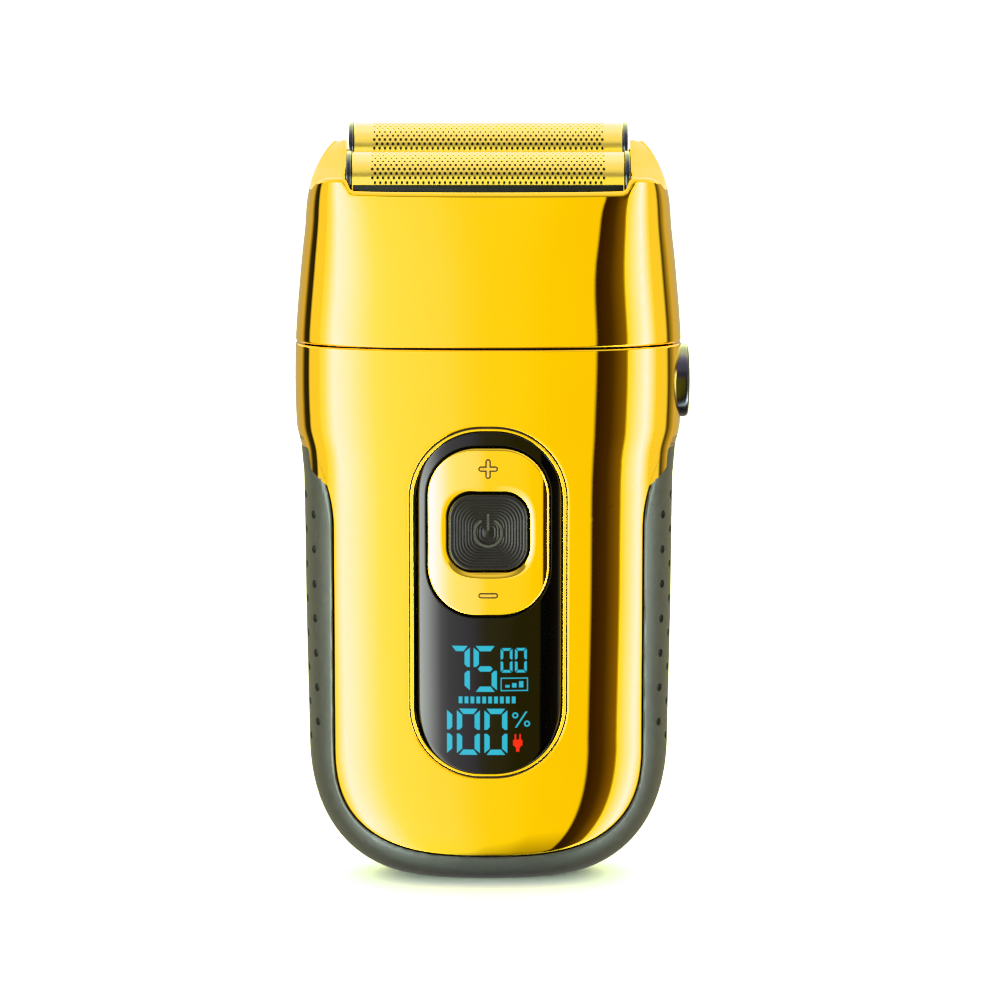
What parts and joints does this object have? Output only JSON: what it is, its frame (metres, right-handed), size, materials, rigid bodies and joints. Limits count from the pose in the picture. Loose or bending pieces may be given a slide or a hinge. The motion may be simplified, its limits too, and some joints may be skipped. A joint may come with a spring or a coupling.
{
  "type": "foil shaver",
  "caption": "Cordless barber's foil shaver: gold shell, black rubber grip, stepped foil units over sliding cutters, speed rocker, power button, digital display and lift-off head.",
  "frame": {"origin": "middle of the flat foot that the shaver stands on", "axes": "+Z from the foot to the foils, -Y out of the front with its control window, +X to the right, towards the round release button"},
  "size_m": [0.0642, 0.0321, 0.1236],
  "materials": {
    "gold_shell": "gold electroplated ABS, mirror gloss",
    "grip_rubber": "matt soft-touch rubber",
    "window_black": "smoked gloss acrylic",
    "gold_trim": "thin gold-plated trim",
    "gold_rocker": "gold electroplated ABS",
    "button_grey": "dark grey with fine square ridges",
    "gunmetal": "dark nickel plate",
    "foil_sheet": "titanium-coated perforated foil",
    "carrier_black": "moulded black plastic",
    "cap_gunmetal": "dark plated plastic",
    "blade_steel": "ground stainless steel",
    "nylon_white": "moulded white nylon",
    "spring_steel": "bright spring wire and strip",
    "shaft_steel": "ground steel",
    "screw_steel": "zinc-plated steel",
    "frame_black": "moulded black plastic",
    "seal_rubber": "thin soft gasket",
    "motor_case": "plain motor can",
    "cell_wrap": "shrink-wrapped cell",
    "circuit_green": "solder-masked board",
    "display_black": "display block behind the window",
    "socket_steel": "drawn steel shell"
  },
  "bodies": {
    "body": {"front_housing": "gold_shell", "rear_housing": "gold_shell", "grip_sleeve": "grip_rubber", "drive_deck": "frame_black", "hair_seal": "seal_rubber", "chassis": "frame_black", "deck_screw_left": "screw_steel", "deck_screw_right": "screw_steel", "motor_screw_left": "screw_steel", "motor_screw_right": "screw_steel", "case_screw_1": "screw_steel", "case_screw_2": "screw_steel", "case_screw_3": "screw_steel", "case_screw_4": "screw_steel", "battery_pack": "cell_wrap", "main_board": "circuit_green", "display_module": "display_black", "power_switch": "socket_steel", "speed_up_switch": "socket_steel", "speed_down_switch": "socket_steel", "charging_socket": "socket_steel", "socket_tongue": "frame_black", "charge_board": "circuit_green", "display_window": "window_black", "window_bezel": "gold_trim", "control_frame": "frame_black", "motor_can": "motor_case", "motor_end_cap": "frame_black", "flexure_left": "spring_steel", "flexure_right": "spring_steel", "release_spring": "spring_steel"},
    "head": {"head_shell": "gold_shell", "foil_frame": "carrier_black", "foil_spring_front": "spring_steel", "foil_spring_rear": "spring_steel"},
    "front_foil_unit": {"foil_front": "foil_sheet", "foil_front_carrier": "carrier_black", "foil_front_cap_left": "cap_gunmetal", "foil_front_cap_right": "cap_gunmetal"},
    "rear_foil_unit": {"foil_rear": "foil_sheet", "foil_rear_carrier": "carrier_black", "foil_rear_cap_left": "cap_gunmetal", "foil_rear_cap_right": "cap_gunmetal"},
    "oscillator": {"oscillator_bridge": "nylon_white", "drive_post_front": "shaft_steel", "drive_post_rear": "shaft_steel", "cutter_spring_front": "spring_steel", "cutter_spring_rear": "spring_steel"},
    "front_cutter": {"cutter_blades_front": "blade_steel", "cutter_base_front": "carrier_black"},
    "rear_cutter": {"cutter_blades_rear": "blade_steel", "cutter_base_rear": "carrier_black"},
    "rotor": {"motor_shaft": "shaft_steel", "eccentric_cam": "nylon_white"},
    "rocker": {"speed_rocker": "gold_rocker"},
    "power": {"power_button": "button_grey"},
    "release": {"release_button": "gunmetal", "release_latch": "frame_black"}
  },
  "joints": [
    {"name": "head_lift", "type": "slide", "parent": "body", "child": "head", "axis": [0, 0, 1], "range_m": [0, 0.036]},
    {"name": "front_foil_float", "type": "slide", "parent": "head", "child": "front_foil_unit", "axis": [0, 0, 1], "range_m": [-0.0015, 0], "stiffness_N_per_m": 300, "springref_m": 0.001, "deforming": ["foil_spring_front"]},
    {"name": "rear_foil_float", "type": "slide", "parent": "head", "child": "rear_foil_unit", "axis": [0, 0, 1], "range_m": [-0.0015, 0], "stiffness_N_per_m": 300, "springref_m": 0.001, "deforming": ["foil_spring_rear"]},
    {"name": "oscillate", "type": "slide", "parent": "body", "child": "oscillator", "axis": [1, 0, 0], "range_m": [-0.00125, 0.00125], "stiffness_N_per_m": 1500, "deforming": ["flexure_left", "flexure_right"]},
    {"name": "front_cutter_float", "type": "slide", "parent": "oscillator", "child": "front_cutter", "axis": [0, 0, 1], "range_m": [-0.0015, 0], "deforming": ["cutter_spring_front"]},
    {"name": "rear_cutter_float", "type": "slide", "parent": "oscillator", "child": "rear_cutter", "axis": [0, 0, 1], "range_m": [-0.0015, 0], "deforming": ["cutter_spring_rear"]},
    {"name": "motor_spin", "type": "hinge", "parent": "body", "child": "rotor", "pos_m": [0, 0.001, 0.08], "axis": [0, 0, 1], "continuous": true},
    {"name": "rocker_tilt", "type": "hinge", "parent": "body", "child": "rocker", "pos_m": [0, -0.0127, 0.059], "axis": [1, 0, 0], "range_deg": [-3, 3], "stiffness_Nm_per_rad": 0.3},
    {"name": "power_press", "type": "slide", "parent": "body", "child": "power", "axis": [0, 1, 0], "range_m": [0, 0.0008], "stiffness_N_per_m": 800, "springref_m": -0.0005},
    {"name": "release_press", "type": "slide", "parent": "body", "child": "release", "axis": [-1, 0, 0], "range_m": [0, 0.0012], "stiffness_N_per_m": 900, "springref_m": -0.0004, "deforming": ["release_spring"]}
  ],
  "couplings": [
    {"joint": "front_cutter_float", "follows": "front_foil_float", "ratio": 1},
    {"joint": "rear_cutter_float", "follows": "rear_foil_float", "ratio": 1}
  ]
}
